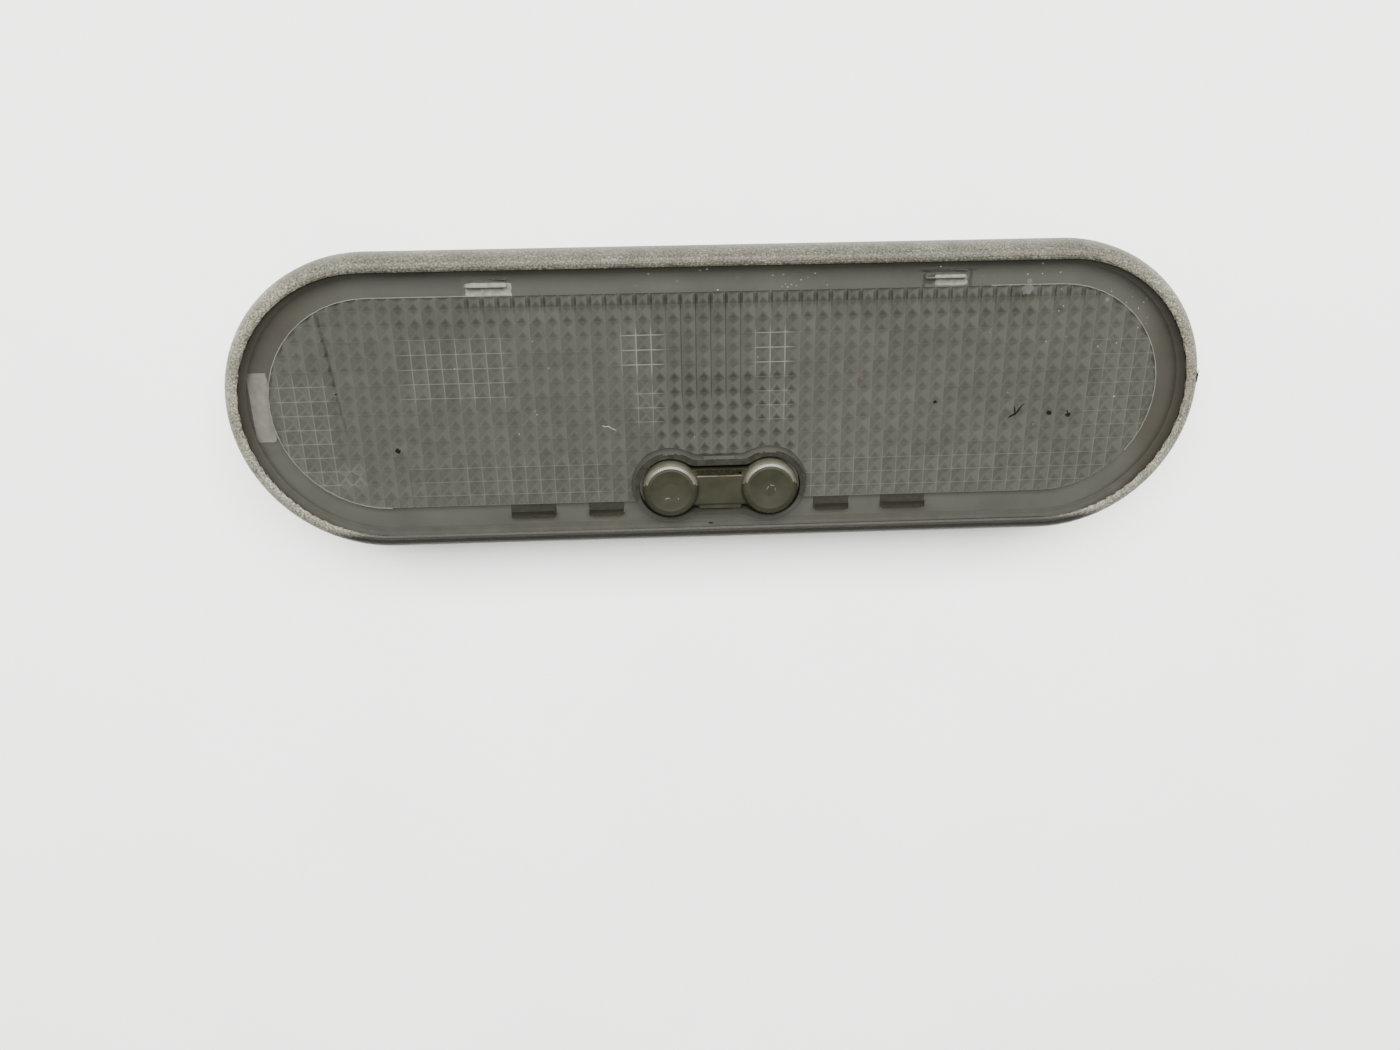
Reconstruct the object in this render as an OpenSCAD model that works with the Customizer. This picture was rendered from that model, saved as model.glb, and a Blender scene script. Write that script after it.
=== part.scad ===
// Car dome light: prismatic lens, tray housing, rocker switch, festoon bulb and contacts.
// The lamp lies on its back with the lens up. Z = 0 is the face that seats on the headliner,
// X runs along the lamp and Y across it; the rocker sits on the -Y side of the lens.

/* [Lens] */
// Overall length of the lens
lens_l = 182.5; // [178:0.5:188]
// Overall width of the lens
lens_w = 56; // [55.5:0.5:57.5]
// Height of the lens face above the headliner
lens_h = 5; // [4.8:0.1:5.4]
// Thickness of the lens plate
plate_t = 2; // [1.8:0.1:2.2]
// Width of the grained rim seen from the front
rim_w = 3.2; // [3:0.1:3.5]
// Height of the rim's crest above the lens face
rim_up = 0.6; // [0.4:0.1:0.7]
// Wall thickness of the lens skirt
skirt_t = 1.6; // [1.4:0.1:1.8]

/* [Prism field] */
// Pitch of the square prisms
prism_p = 2.75; // [2.6:0.05:2.8]
// Number of prism columns
prism_cols = 61; // [57:2:61]
// Number of prism rows
prism_rows = 15; // [11:2:15]
// Depth of one prism
prism_d = 0.9; // [0.6:0.1:1]
// Width trimmed off the outermost prisms all round
prism_trim = 0.6; // [0.5:0.05:0.7]

/* [Rocker] */
// Diameter of a finger pad
pad_d = 10.7; // [10:0.1:11]
// Distance of a pad from the middle of the rocker
pad_x = 9.5; // [9.2:0.1:10]
// Distance of the rocker's middle from the outside of the tray's near wall
rocker_in = 0; // [-0.2:0.1:0.2]
// Height of the pads above the lens face
pad_up = 2; // [1.8:0.1:2.4]
// Width of the bar between the pads
bar_w = 7.2; // [6.8:0.1:7.4]
// Gap between rocker and lens
rocker_gap = 0.65; // [0.6:0.05:0.75]
// Diameter of the rocker trunnions
trunnion_d = 2.4; // [2.2:0.1:2.5]
// Height of the bead on the lens round the rocker
bead_up = 0.3; // [0.2:0.05:0.4]

/* [Housing] */
// Thickness of the flange under the lens
flange_t = 1.6; // [1.5:0.1:1.7]
// Wall and floor thickness of the tray
wall = 1.5; // [1.4:0.1:1.6]
// Clearance between the reflector's lip and the tray's far wall
reflector_clear = 0.5; // [0.3:0.1:0.6]
// Height of the lip on the back of the flange that seats on the headliner
seat_lip = 0.4; // [0.3:0.1:0.5]
// Depth of the tray floor below the headliner
tray_d = 7.6; // [7.2:0.1:8]
// Depth of the bulb well and the connector shroud below the headliner
well_d = 15.2; // [15:0.1:16.5]

/* [Bulb] */
// Length of the festoon bulb over its tips
bulb_l = 31; // [30:0.5:32]
// Diameter of the bulb glass
glass_d = 8.4; // [7.8:0.1:8.8]
// Diameter of the bulb caps
cap_d = 7; // [6.6:0.1:7.2]
// Distance of the bulb from the middle of the lamp
bulb_y = 7.2; // [7:0.1:7.3]

/* [Connector] */
// Outside length of the connector shroud
shroud_l = 22; // [21:0.5:23]
// Outside width of the connector shroud
shroud_w = 15; // [14:0.5:16]
// Distance of the shroud from the middle of the lamp
shroud_x = 50; // [49:0.5:51]
// Width of a contact blade
blade_w = 2.8; // [2.6:0.1:3]

/* [Hidden] */

// Clearances
skirt_clear = 0.3;
seat_clear = 0.3;
bore_clear = 0.05;
leg_clear = 0.2;
strip_clear = 0.2;
e = 0.01;

// Lens: half length of the straight part, levels and radii
str = (lens_l - lens_w) / 2;
lens_r = lens_w / 2;
plate_z = lens_h - plate_t;
skirt_r = lens_r - skirt_t;
face_r = lens_r - rim_w;
ledge_r = skirt_r - 1.5;
prism_l = prism_cols * prism_p - 2 * prism_trim;
prism_w = prism_rows * prism_p - 2 * prism_trim;
valley_z = plate_z - 0.04;
tip_z = valley_z - prism_d;

// Rolled rim: up from the face to a crest, then a quarter of an ellipse down to the skirt
rim_h = 3.6 + rim_up;
rim_top = lens_h + rim_up;
crest_w = 0.9;
roll_w = rim_w - crest_w;
rim_arc = concat(
  [for (a = [0 : 30 : 60]) [face_r + crest_w * (1 - cos(a)), lens_h + rim_up * sin(a)]],
  [for (a = [90 : -10 : 0]) [face_r + crest_w + roll_w * cos(a), rim_top - rim_h + rim_h * sin(a)]]);

// Cut-out of the lens round the rocker
pad_r = pad_d / 2;
cut_r = pad_r + rocker_gap;
cut_w = bar_w / 2 + 0.9;
neck_r = 3;
lip_w = 1.5;
bead_w = 1.1;
bead_soft = 0.3;

// Snap legs of the lens
leg_t = 1.3;
leg_y = lens_r - skirt_t - skirt_clear - 3.2;
leg_hook = 0.6;
leg_deep = 2.6;
top_legs = [[-41.8, 8], [41.8, 8]];
low_legs = [[-36.3, 8.8], [-22.1, 7], [22.1, 7], [36.3, 8.8]];
win_in = leg_y - 3;
win_out = leg_y + 0.3;

// Housing
flange_r = skirt_r - skirt_clear;
seat_r = flange_r - 2.1;
floor_z = wall - tray_d;
well_x = bulb_l / 2 + 2;
well_z = wall - well_d;
bulb_z = -7;
trough_r = bulb_z - well_z;
trough_lip = 0.9;
mouth_r = bulb_y + trough_r + trough_lip + reflector_clear;
tray_r = mouth_r + wall;
tray_w = 2 * tray_r;
well_y0 = bulb_y - trough_r - trough_lip - 0.9;
stop_x = 55;
stop_y = 9;
stop_l = 12;
hook_w = 12;
hook_z = -4.4;
hook_t = 2;
gusset_t = 1.6;
rib_t = 1.2;
rib_h = 2.4;
rib_pitch = 9;
inner_rib_h = 3;

// Rocker bearings, stacked down from the underside of the lens plate
rocker_y = tray_r - rocker_in;
post_t = 1.6;
post_w = 6;
post_top = plate_z - 0.5;
bore_r = trunnion_d / 2 + bore_clear;
pivot_z = post_top - 0.7 - bore_r;
post_in = bar_w / 2 + 0.2;
hub_r = 2.3;
pad_z = lens_h + pad_up;
pad_base = plate_z + 0.6;
bar_z = lens_h + 0.5;
tongue_w = 5.2;
tongue_z = floor_z + 1.1;

// Switch pocket under the rocker
pocket_x = 11;
pocket_y0 = -rocker_y - 3.8;
pocket_y1 = 4.2 - rocker_y;
pocket_z = floor_z - 2.9;

// Contact wiper and strips
strip_t = 0.5;
strip_w = 2.8;
wiper_t = 0.3;
wiper_w = 3.2;
contact_y = 1.5 - rocker_y;
contact_x = 6;
wiper_x = 6.45;
wiper_z = tongue_z - 2.45;
head_z = pocket_z + 0.8;
rear_z = -tray_d;
clip_hole_x = bulb_l / 2 + 5.5;
inner_rib_x = clip_hole_x + 6;
lane_y = (post_in + post_t - rocker_y + well_y0 - wall) / 2 + 0.1;
finger_w = 2.6;

// Bulb and clips
glass_r = glass_d / 2;
glass_t = 0.5;
cap_r = cap_d / 2;
cap_t = 0.35;
cap_x = bulb_l / 2 - 1.6;
cap_in = bulb_l / 2 - 6.5;
tip_r = 0.8;
coil_x = 4.32;
glass_x = cap_in + 1.6;
neck_in = cap_in - 0.1;
clip_t = 0.4;
clip_w = 6;
clip_x = bulb_l / 2 - 0.6;
clip_hole = cap_r - (clip_x - cap_x) / 1.6 * (cap_r - tip_r) + 0.02;
clip_back = well_x - 0.2;
clip_bend = (clip_back - clip_x) / 2;
clip_low = well_z + clip_bend + 0.5;
clip_top = bulb_z + 4.4;

// Connector
shroud_in = [shroud_l - 2 * wall, shroud_w - 2 * wall];
shroud_y = 2.5;
blade_t = 0.8;
blade_p = 6;
blade_z = 0.6 - well_d;

// Retaining spring and fixed hook
spring_t = 0.8;
spring_w = 10;
spring_x = -str - tray_r;
spring_gap = 3.2;
spring_nose = 2.2;
rivet_z = -3.6;
hook_l = seat_r - tray_r - 0.4;
slot_w = 13.5;
slot_x0 = spring_x - 7;
slot_x1 = spring_x - 3.4;

$fn = 48;

// Flat stadium, length along X
module stadium(l, w) {
  square([l - w, w], center = true);
  for (s = [-1, 1])
    translate([s * (l - w) / 2, 0]) circle(d = w);
}

// Carries a half section, radius against height, round the stadium path of the lamp
module round_path() {
  for (s = [-1, 1])
    translate([s * str, 0, 0])
      rotate([0, 0, -90 * s])
        rotate_extrude(angle = 180) children();
  translate([-str, 0, 0])
    rotate([90, 0, 90])
      linear_extrude(2 * str) {
        children();
        mirror([1, 0]) children();
      }
}

// First quarter of the dog-bone outline: arc of the round end, then the concave corner
function bone_quarter(r, w, f, n = 14, m = 6) =
  let (fx = pad_x - sqrt(pow(r + f, 2) - pow(w + f, 2)), a = atan2(w + f, fx - pad_x))
  concat([for (i = [0 : n]) [pad_x + r * cos(a * i / n), r * sin(a * i / n)]],
    [for (i = [1 : m]) let (t = a - 180 + (90 - a) * i / m) [fx + f * cos(t), w + f + f * sin(t)]]);

// Two round ends joined by a narrower waist with smooth concave corners
module dogbone(r, w, f) {
  q = bone_quarter(r, w, f);
  n = len(q) - 1;
  polygon(concat(q, [for (i = [n : -1 : 0]) [-q[i][0], q[i][1]]],
    [for (i = [1 : n]) [-q[i][0], -q[i][1]]], [for (i = [n : -1 : 1]) [q[i][0], -q[i][1]]]));
}

// Row of V grooves across n cells; the teeth between them are the prisms
module grooves(n, l) {
  rotate([90, 0, 0])
    linear_extrude(l, center = true)
      polygon(concat(
        [for (i = [-n / 2 - 1 : n / 2]) each [[i * prism_p, valley_z], [(i + 0.5) * prism_p, tip_z]]],
        [[(n / 2 + 1) * prism_p, valley_z], [(n / 2 + 1) * prism_p, tip_z - 1],
         [-(n / 2 + 1) * prism_p, tip_z - 1]]));
}

module prism_field() {
  difference() {
    translate([0, 0, tip_z - 0.5])
      linear_extrude(plate_z + 0.8 - tip_z)
        difference() {
          stadium(prism_l, prism_w);
          translate([0, -rocker_y]) dogbone(cut_r + lip_w, cut_w + lip_w, neck_r - lip_w);
        }
    grooves(prism_cols, lens_w);
    rotate([0, 0, 90]) grooves(prism_rows, lens_l);
  }
}

// Low bead on the face round the cut-out, with a stepped top
module rocker_bead() {
  translate([0, -rocker_y, lens_h - 0.2]) {
    linear_extrude(0.2 + bead_up / 2) dogbone(cut_r + bead_w, cut_w + bead_w, neck_r - bead_w);
    linear_extrude(0.2 + bead_up)
      dogbone(cut_r + bead_w - bead_soft, cut_w + bead_w - bead_soft, neck_r - bead_w + bead_soft);
  }
}

// Leg with an outward hook that catches behind the flange
module snap_leg(w) {
  rotate([90, 0, 90])
    linear_extrude(w - 2 * leg_clear, center = true)
      polygon([[leg_y - leg_t, plate_z + 0.2], [leg_y, plate_z + 0.2], [leg_y, seat_lip],
        [leg_y + leg_hook, seat_lip], [leg_y + leg_hook, -0.3], [leg_y - 0.3, -leg_deep],
        [leg_y - leg_t, -leg_deep]]);
}

module lens() {
  color("#8f9087")
    difference() {
      union() {
        round_path()
          polygon(concat([[0, lens_h]], rim_arc,
            [[lens_r, seat_clear], [skirt_r, seat_clear], [skirt_r, flange_t], [ledge_r, flange_t],
             [ledge_r, plate_z], [0, plate_z]]));
        prism_field();
        rocker_bead();
        for (l = top_legs)
          translate([l[0], 0, 0]) snap_leg(l[1]);
        for (l = low_legs)
          translate([l[0], 0, 0]) mirror([0, 1, 0]) snap_leg(l[1]);
      }
      translate([0, -rocker_y, tip_z - 1])
        linear_extrude(lens_h + 2) dogbone(cut_r, cut_w, neck_r);
    }
}

// Tray walls, well, switch pocket and connector shroud before they are hollowed
module housing_body() {
  translate([0, 0, seat_lip])
    linear_extrude(flange_t - seat_lip) stadium(2 * (str + flange_r), 2 * flange_r);
  round_path()
    polygon([[seat_r, 0], [flange_r, 0], [flange_r, flange_t], [seat_r, flange_t]]);
  translate([0, 0, -tray_d])
    linear_extrude(tray_d + seat_lip + e) stadium(2 * (str + tray_r), tray_w);
  translate([-well_x - wall, well_y0 - wall, -well_d])
    cube([2 * (well_x + wall), tray_r - well_y0 + wall - e, well_d]);
  translate([-pocket_x - wall, pocket_y0 - wall, pocket_z - wall])
    cube([2 * (pocket_x + wall), pocket_y1 - pocket_y0 + 2 * wall, wall - pocket_z + seat_lip + e]);
  translate([-shroud_x - shroud_l / 2, shroud_y - shroud_w / 2, -well_d])
    cube([shroud_l, shroud_w, well_d - tray_d + e]);
  for (s = [-1, 1])
    translate([stop_x - stop_l / 2, s * stop_y - wall / 2, -well_d])
      cube([stop_l, wall, well_d - tray_d + e]);
  translate([stop_x - wall / 2, -stop_y, -well_d + 3]) cube([wall, 2 * stop_y, well_d - tray_d - 3 + e]);
  translate([str + tray_r - 0.5, -hook_w / 2, hook_z]) cube([hook_l + 0.5, hook_w, hook_t]);
  for (s = [-1, 1])
    translate([str + tray_r - 0.5, s * (hook_w / 2 - gusset_t / 2) - gusset_t / 2, -tray_d])
      cube([5, gusset_t, tray_d + hook_z + hook_t / 2]);
  rear_ribs();
}

// Ribs that stiffen the rear of the tray beyond the well, and two on the well itself
module rear_ribs() {
  x0 = clip_hole_x + 4;
  x1 = stop_x - wall / 2;
  for (y = [-stop_y, 0, stop_y])
    translate([x0, y - rib_t / 2, rear_z - rib_h]) cube([x1 - x0, rib_t, rib_h + e]);
  for (i = [1, 2])
    translate([x0 + i * rib_pitch - rib_t / 2, -stop_y - 3, rear_z - rib_h + 0.4])
      cube([rib_t, 2 * stop_y + 6, rib_h - 0.4 + e]);
  for (x = [-well_x + 5, well_x - 5])
    translate([x - rib_t / 2, well_y0 - wall - 2.5, -well_d + 2])
      cube([rib_t, 2.5 + e, well_d - tray_d - 2 + e]);
}

// Bearing post of the rocker, drawn for the inner side
module rocker_post() {
  translate([-post_w / 2, -rocker_y + post_in, pivot_z - bore_r - 0.7])
    cube([post_w, post_t, post_top - pivot_z + bore_r + 0.7]);
}

module housing() {
  color("#b9b7ae")
    difference() {
      union() {
        difference() {
          housing_body();
          translate([0, 0, floor_z])
            linear_extrude(tray_d) stadium(2 * (str + mouth_r), 2 * mouth_r);
          translate([-well_x, well_y0, well_z]) cube([2 * well_x, mouth_r - well_y0, well_d]);
          translate([-pocket_x, pocket_y0, pocket_z])
            cube([2 * pocket_x, pocket_y1 - pocket_y0, tray_d + 4]);
        }
        rocker_post();
        translate([0, -2 * rocker_y, 0]) mirror([0, 1, 0]) rocker_post();
        // cross ribs on the tray floor
        for (s = [-1, 1])
          translate([s * inner_rib_x - rib_t / 2, -mouth_r - 0.2, floor_z - e])
            cube([rib_t, 2 * mouth_r + 0.4, inner_rib_h]);
        // floor bridge that carries the inner post
        translate([-post_w / 2, -rocker_y + post_in, floor_z - e])
          cube([post_w, post_t, pivot_z - floor_z - bore_r]);
      }
      // windows for the snap legs
      for (l = top_legs)
        translate([l[0] - l[1] / 2, win_in, -1]) cube([l[1], win_out - win_in, flange_t + 2]);
      for (l = low_legs)
        translate([l[0] - l[1] / 2, -win_out, -1]) cube([l[1], win_out - win_in, flange_t + 2]);
      // opening over the retaining spring
      translate([slot_x0, -slot_w / 2, -1]) cube([slot_x1 - slot_x0, slot_w, flange_t + 2]);
      // connector shroud with its key slot and the notches for the strips
      translate([-shroud_x - shroud_in[0] / 2, shroud_y - shroud_in[1] / 2, -well_d - 1])
        cube([shroud_in[0], shroud_in[1], well_d + 1 - tray_d]);
      translate([-shroud_x - shroud_in[0] / 2 + 2, shroud_y + shroud_in[1] / 2 - 3, -tray_d - 1])
        cube([shroud_in[0] - 4, 2.6, wall + 2]);
      for (i = [-1, 0])
        translate([-shroud_x + i * blade_p - strip_w / 2 - strip_clear, shroud_y - shroud_w / 2 - 1,
          rear_z - strip_t - strip_clear])
          cube([strip_w + 2 * strip_clear, wall + 2, strip_t + strip_clear]);
      translate([-shroud_x + shroud_l / 2 - wall - 1, shroud_y - strip_w / 2 - strip_clear,
        rear_z - strip_t - strip_clear])
        cube([wall + 2, strip_w + 2 * strip_clear, strip_t + strip_clear]);
      // tunnel under the inner post for the finger of the common strip
      translate([-finger_w / 2 - strip_clear, -rocker_y + post_in - 0.5, floor_z])
        cube([finger_w + 2 * strip_clear, post_t + 1, strip_t + strip_clear]);
      // rocker bearing, one bore through both posts
      translate([0, -rocker_y, pivot_z])
        rotate([90, 0, 0]) cylinder(h = 2 * (post_in + post_t) + 1, r = bore_r, center = true);
      // rivet holes
      for (s = [-1, 1]) {
        translate([s * clip_hole_x, bulb_y, -tray_d - 1]) cylinder(h = wall + 2, r = 1.1);
        translate([s * contact_x, contact_y, pocket_z - wall - 1]) cylinder(h = wall + 2, r = 1.1);
      }
      for (p = rivet_spots)
        translate([p[0], p[1], -tray_d - 1]) cylinder(h = wall + 2, r = 0.9);
      translate([spring_x - 1, 0, rivet_z]) rotate([0, 90, 0]) cylinder(h = wall + 2, r = 1.1);
    }
}

// Bright metal trough behind the bulb
module reflector() {
  ro = trough_r;
  l = 2 * (cap_in + 1.5);
  color("#c8c9c6")
    translate([0, bulb_y, bulb_z])
      rotate([90, 0, 90]) {
        linear_extrude(l, center = true)
          difference() {
            circle(ro);
            circle(ro - clip_t);
            translate([-ro - 1, -1.5]) square([2 * ro + 2, ro + 3]);
          }
        for (s = [0, 1])
          mirror([s, 0, 0])
            linear_extrude(l, center = true)
              polygon([[wing_x(ro), -1.7], [ro + trough_lip, 2.2], [ro + trough_lip - clip_t, 2.2],
                [wing_x(ro - clip_t), -1.7]]);
      }
}

function wing_x(r) = sqrt(r * r - 1.5 * 1.5);

// Finger pad with a rounded edge and a shallow dish
module pad() {
  h = pad_z - pad_base;
  rotate_extrude()
    polygon([[0, 0], [pad_r, 0], [pad_r, h - 1.2], [pad_r - 0.1, h - 0.75], [pad_r - 0.38, h - 0.35],
      [pad_r - 0.8, h - 0.1], [pad_r - 1.3, h], [pad_r - 1.9, h - 0.08], [1.5, h - 0.3], [0, h - 0.3]]);
}

module rocker() {
  color("#5c5d50")
    translate([0, -rocker_y, 0]) {
      for (s = [-1, 1])
        translate([s * pad_x, 0, pad_base]) pad();
      translate([-pad_x, -bar_w / 2, pad_base]) cube([2 * pad_x, bar_w, bar_z - 0.4 - pad_base]);
      translate([-pad_x, -bar_w / 2 + 0.4, pad_base]) cube([2 * pad_x, bar_w - 0.8, bar_z - pad_base]);
      translate([-2, -bar_w / 2 + 0.1, pivot_z]) cube([4, bar_w - 0.2, pad_base - pivot_z + e]);
      translate([0, 0, pivot_z])
        rotate([90, 0, 0]) {
          cylinder(h = bar_w - 0.2, r = hub_r, center = true);
          cylinder(h = bar_w + 0.4 + 2 * post_t - 0.5, d = trunnion_d, center = true);
        }
      translate([-tongue_w / 2, -1.2, tongue_z]) cube([tongue_w, bar_w / 2 + 1.1, pivot_z - tongue_z]);
    }
}

// Springy bridge on the tongue of the rocker
module contact_wiper() {
  z = tongue_z;
  color("#b08a4a")
    translate([0, contact_y, 0])
      rotate([90, 0, 0])
        for (s = [0, 1])
          mirror([s, 0, 0])
            linear_extrude(wiper_w, center = true)
              polygon([[-1, z], [3, z], [wiper_x - 0.1, wiper_z + wiper_t + 0.1], [wiper_x + 0.8, wiper_z + 0.9],
                [wiper_x + 1, wiper_z + 0.65], [wiper_x, wiper_z], [2.85, z - wiper_t], [-1, z - wiper_t]]);
}

module strip(x0, y0, x1, y1, z) {
  translate([min(x0, x1) - strip_w / 2, min(y0, y1) - strip_w / 2, z])
    cube([abs(x1 - x0) + strip_w, abs(y1 - y0) + strip_w, strip_t]);
}

// Blade at place i of the connector, standing on its strip
module blade(i) {
  translate([-shroud_x + i * blade_p - blade_w / 2, shroud_y - blade_t / 2, blade_z])
    cube([blade_w, blade_t, rear_z - blade_z]);
}

// Small rivets that hold the strips near the connector
rivet_spots = [[-shroud_x - blade_p, lane_y - 2.5], [-shroud_x + shroud_l / 2 + 8, shroud_y],
  [-shroud_x + shroud_l / 2 + 4, lane_y]];

module strip_holes() {
  for (p = rivet_spots)
    translate([p[0], p[1], rear_z - 1]) cylinder(h = 2, r = 0.8);
}

module supply_strip() {
  z = rear_z - strip_t;
  x = -shroud_x + shroud_l / 2 + 8;
  color("#b5913f")
    difference() {
      union() {
        strip(-clip_hole_x, bulb_y, x, bulb_y, z);
        strip(x, bulb_y, x, shroud_y, z);
        strip(x, shroud_y, -shroud_x + blade_p, shroud_y, z);
        blade(1);
      }
      translate([-clip_hole_x, bulb_y, z - 1]) cylinder(h = 2, r = 1);
      strip_holes();
    }
}

module ground_strip() {
  z = rear_z - strip_t;
  low = pocket_z - wall - strip_t;
  px = -pocket_x - wall - strip_t / 2;
  color("#b5913f")
    difference() {
      union() {
        translate([px - strip_t / 2, contact_y - strip_w / 2, low])
          cube([-contact_x - px + strip_t / 2 + 1.5, strip_w, strip_t]);
        translate([px - strip_t / 2, contact_y - strip_w / 2, low]) cube([strip_t, strip_w, rear_z - low]);
        translate([-shroud_x - blade_p - strip_w / 2, contact_y - strip_w / 2, z])
          cube([px + strip_t / 2 + shroud_x + blade_p + strip_w / 2, strip_w, strip_t]);
        strip(-shroud_x - blade_p, contact_y, -shroud_x - blade_p, shroud_y, z);
        blade(-1);
      }
      translate([-contact_x, contact_y, low - 1]) cylinder(h = 3, r = 1);
      strip_holes();
    }
}

module door_strip() {
  z = rear_z - strip_t;
  low = pocket_z - wall - strip_t;
  py = pocket_y1 + wall + strip_t / 2;
  color("#b5913f")
    difference() {
      union() {
        translate([contact_x - strip_w / 2, contact_y - 1.5, low])
          cube([strip_w, py + strip_t / 2 - contact_y + 1.5, strip_t]);
        translate([contact_x - strip_w / 2, py - strip_t / 2, low]) cube([strip_w, strip_t, rear_z - low]);
        translate([contact_x - strip_w / 2, py - strip_t / 2, z])
          cube([strip_w, lane_y - py + strip_t / 2 + strip_w / 2, strip_t]);
        strip(contact_x, lane_y, -shroud_x, lane_y, z);
        strip(-shroud_x, lane_y, -shroud_x, shroud_y, z);
        blade(0);
      }
      translate([contact_x, contact_y, low - 1]) cylinder(h = 3, r = 1);
      strip_holes();
    }
}

module common_strip() {
  color("#b5913f")
    difference() {
      union() {
        strip(clip_hole_x, bulb_y, clip_hole_x, lane_y, floor_z);
        strip(clip_hole_x, lane_y, 0, lane_y, floor_z);
        translate([-finger_w / 2, contact_y - 1, floor_z]) cube([finger_w, lane_y - contact_y + 1, strip_t]);
      }
      translate([clip_hole_x, bulb_y, floor_z - 1]) cylinder(h = 3, r = 1);
    }
}

// Hairpin clip, drawn for the right-hand end; z is the level of its foot
module bulb_clip(z) {
  color("#b9bab5")
    translate([0, bulb_y, 0])
      difference() {
        union() {
          translate([clip_back - clip_t, -clip_w / 2, z]) cube([clip_hole_x + 2.5 - clip_back + clip_t, clip_w, clip_t]);
          translate([clip_back - clip_t, -clip_w / 2, clip_low]) cube([clip_t, clip_w, z + clip_t - clip_low]);
          translate([clip_x, -clip_w / 2, clip_low]) cube([clip_t, clip_w, clip_top - clip_low]);
          translate([clip_x + clip_bend, 0, clip_low])
            rotate([90, 0, 0])
              difference() {
                cylinder(h = clip_w, r = clip_bend, center = true);
                cylinder(h = clip_w + 1, r = clip_bend - clip_t, center = true);
                translate([-5, 0, -5]) cube([10, 5, 10]);
              }
          translate([clip_x, -clip_w / 2, clip_top - e])
            rotate([0, 30, 0]) cube([clip_t, clip_w, 2]);
        }
        translate([clip_x - 1, 0, bulb_z]) rotate([0, 90, 0]) cylinder(h = 2, r = clip_hole);
        translate([clip_hole_x, 0, z - 1]) cylinder(h = 3, r = 1);
      }
}

module bulb_clip_left() {
  mirror([1, 0, 0]) bulb_clip(floor_z);
}

module bulb_clip_right() {
  bulb_clip(floor_z + strip_t);
}

// Round-headed rivet, head under z0 and closed over z1
module rivet(z0, z1, r) {
  color("#a58a55")
    rotate_extrude()
      polygon([[0, z0 - 0.6], [r * 1.2, z0 - 0.6], [r * 1.7, z0 - 0.25], [r * 1.7, z0], [r, z0], [r, z1],
        [r * 1.6, z1], [r * 1.5, z1 + 0.35], [r * 0.9, z1 + 0.6], [0, z1 + 0.6]]);
}

module clip_rivet_left() {
  translate([-clip_hole_x, bulb_y, 0]) rivet(rear_z - strip_t, floor_z + clip_t, 1);
}

module clip_rivet_right() {
  translate([clip_hole_x, bulb_y, 0]) rivet(rear_z, floor_z + strip_t + clip_t, 1);
}

// Contact rivet with a domed head inside the switch pocket
module contact_rivet() {
  low = pocket_z - wall - strip_t;
  color("#c2a768")
    rotate_extrude()
      polygon([[0, low - 0.6], [1.3, low - 0.6], [1.7, low - 0.25], [1.7, low], [1, low], [1, pocket_z],
        [2.1, pocket_z], [2, pocket_z + 0.35], [1.3, head_z - 0.1], [0.6, head_z], [0, head_z]]);
}

module contact_rivet_left() {
  translate([-contact_x, contact_y, 0]) contact_rivet();
}

module contact_rivet_right() {
  translate([contact_x, contact_y, 0]) contact_rivet();
}

module strip_rivets() {
  for (p = rivet_spots)
    translate([p[0], p[1], 0]) rivet(rear_z - strip_t, floor_z, 0.8);
}

module bulb_glass() {
  color("#dfe6e6")
    translate([0, bulb_y, bulb_z])
      rotate([0, 90, 0])
        rotate_extrude()
          polygon([[glass_r - glass_t, -glass_x + 2.4], [glass_r - glass_t, glass_x - 2.4],
            [cap_r - cap_t - 1, neck_in], [cap_r - cap_t - 1, neck_in + 1], [cap_r - cap_t - 0.4, neck_in + 1],
            [cap_r - cap_t - 0.4, neck_in], [glass_r, glass_x - 2.2], [glass_r, -glass_x + 2.2],
            [cap_r - cap_t - 0.4, -neck_in], [cap_r - cap_t - 0.4, -neck_in - 1],
            [cap_r - cap_t - 1, -neck_in - 1], [cap_r - cap_t - 1, -neck_in]]);
}

// Pressed cap with a pointed end, drawn for the right-hand end
module bulb_cap() {
  color("#c9c7bd")
    translate([0, bulb_y, bulb_z])
      rotate([0, 90, 0])
        rotate_extrude()
          polygon([[cap_r - cap_t - 0.4, cap_in], [cap_r, cap_in], [cap_r, cap_x], [tip_r, bulb_l / 2],
            [0, bulb_l / 2], [0, cap_x], [cap_r - cap_t - 0.4, cap_x - 0.6]]);
}

module bulb_cap_left() {
  mirror([1, 0, 0]) bulb_cap();
}

module bulb_cap_right() {
  bulb_cap();
}

module bulb_filament() {
  color("#6d6a66")
    translate([0, bulb_y, bulb_z])
      rotate([0, 90, 0])
        for (i = [-4 : 4])
          translate([0, 0, i * 0.95])
            rotate_extrude($fn = 16) translate([0.62, 0]) circle(r = 0.58, $fn = 6);
}

module bulb_leads() {
  color("#8b8a86")
    translate([0, bulb_y, bulb_z])
      for (s = [-1, 1])
        translate([s * coil_x, 0, 0])
          rotate([0, s * 90, 0]) cylinder(h = cap_x - coil_x - 0.1, r = 0.25, $fn = 16);
}

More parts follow.
